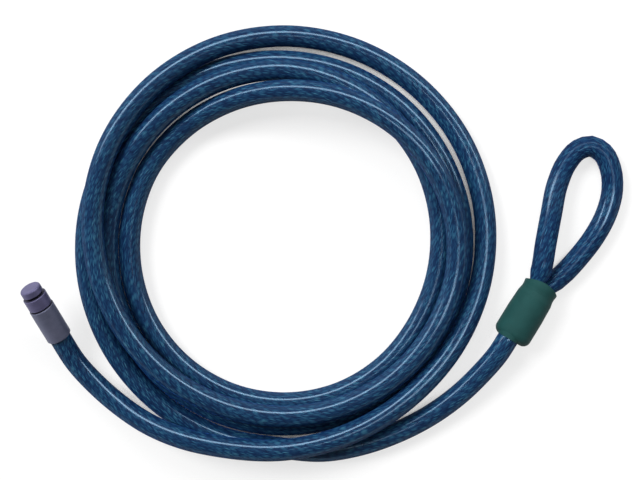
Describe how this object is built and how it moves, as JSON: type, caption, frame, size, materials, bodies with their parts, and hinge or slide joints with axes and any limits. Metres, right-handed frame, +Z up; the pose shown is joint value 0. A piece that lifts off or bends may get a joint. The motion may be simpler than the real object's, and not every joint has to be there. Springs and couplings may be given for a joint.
{
  "type": "laptop security cable",
  "caption": "Coiled steel security cable in a clear blue jacket, with a crimped eye under a green sleeve at one end and a swivelling locking stud at the other.",
  "frame": {"origin": "centre of the overall footprint, on the surface that the coil lies on", "axes": "+Z up from the surface, +X towards the eye's side along the longest extent, +Y from the crossing of the two tails across the coil"},
  "size_m": [0.2776, 0.2037, 0.029],
  "materials": {
    "rope": "bright galvanised strands",
    "jacket": "glossy clear blue vinyl over the wire rope",
    "ferrule": "pressed, plain",
    "sleeve": "dark green, satin",
    "plug": "gunmetal with a violet tint, satin",
    "stud": "gunmetal with a violet tint, satin",
    "bush": "plain turned"
  },
  "bodies": {
    "cable": {"core_strand": "rope", "outer_strands": "rope", "coil_jacket": "jacket", "eye_jacket": "jacket", "crimp_ferrule": "ferrule", "sleeve_cover": "sleeve", "plug_barrel": "plug", "swivel_bush": "bush"},
    "stud": {"locking_stud": "stud"}
  },
  "joints": [
    {"name": "stud_swivel", "type": "hinge", "parent": "cable", "child": "stud", "pos_m": [-0.12872, -0.03169, 0.01797], "axis": [-0.3871, 0.7936, 0.4695], "continuous": true}
  ]
}
